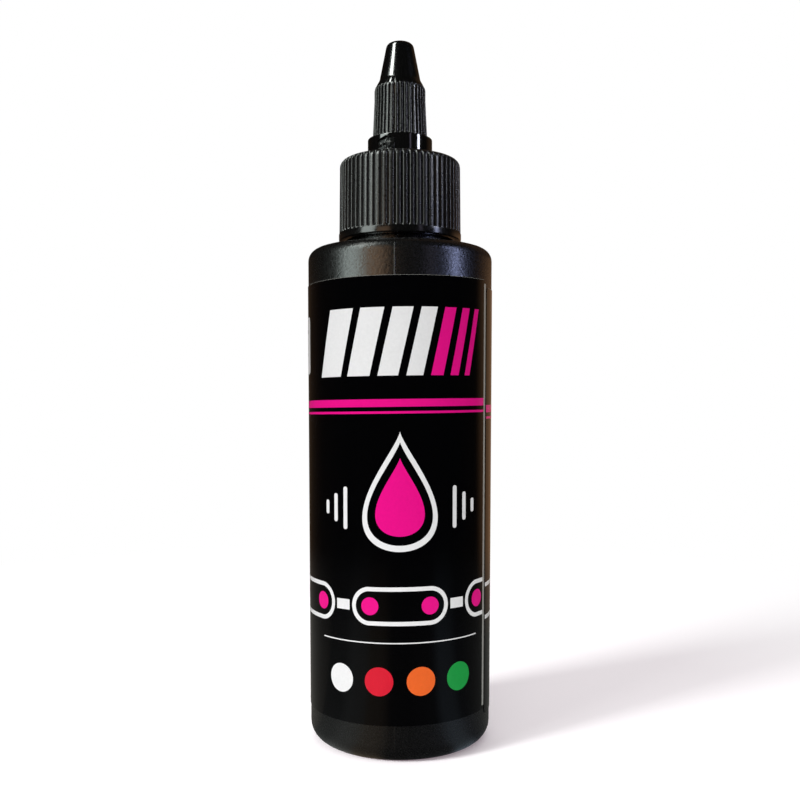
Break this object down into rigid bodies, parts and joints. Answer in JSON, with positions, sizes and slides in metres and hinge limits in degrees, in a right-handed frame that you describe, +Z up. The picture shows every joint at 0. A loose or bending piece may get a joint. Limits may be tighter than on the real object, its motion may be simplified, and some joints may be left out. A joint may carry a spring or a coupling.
{
  "type": "bicycle lube bottle",
  "caption": "Round squeeze bottle for bicycle chain lube, with a wrap label, a ribbed screw cap and a twist nozzle that opens and shuts its orifice.",
  "frame": {"origin": "centre of the base, on the surface the bottle stands on", "axes": "+Z up along the bottle's axis, -Y towards the front of the label, +X to the right seen from the front"},
  "size_m": [0.0412, 0.0412, 0.1556],
  "materials": {
    "bottle_plastic": "satin, finely grained",
    "label_film": "gloss printed film",
    "liner_foam": "matt foamed sheet",
    "cap_plastic": "satin moulded",
    "nozzle_plastic": "gloss moulded"
  },
  "bodies": {
    "bottle": {"bottle": "bottle_plastic", "wrap_label": "label_film"},
    "liner": {"sealing_liner": "liner_foam"},
    "closure": {"screw_cap": "cap_plastic"},
    "nozzle": {"twist_nozzle": "nozzle_plastic"}
  },
  "joints": [
    {"name": "cap_rise", "type": "slide", "parent": "bottle", "child": "liner", "axis": [0, 0, 1], "range_m": [0, 0.00476]},
    {"name": "cap_turn", "type": "hinge", "parent": "liner", "child": "closure", "pos_m": [0, 0, 0.1285], "axis": [0, 0, 1], "range_deg": [0, 540]},
    {"name": "nozzle_lift", "type": "slide", "parent": "closure", "child": "nozzle", "axis": [0, 0, 1], "range_m": [0, 0.0032]}
  ],
  "couplings": [
    {"joint": "cap_rise", "follows": "cap_turn", "m_per_rad": 0.00050532}
  ]
}
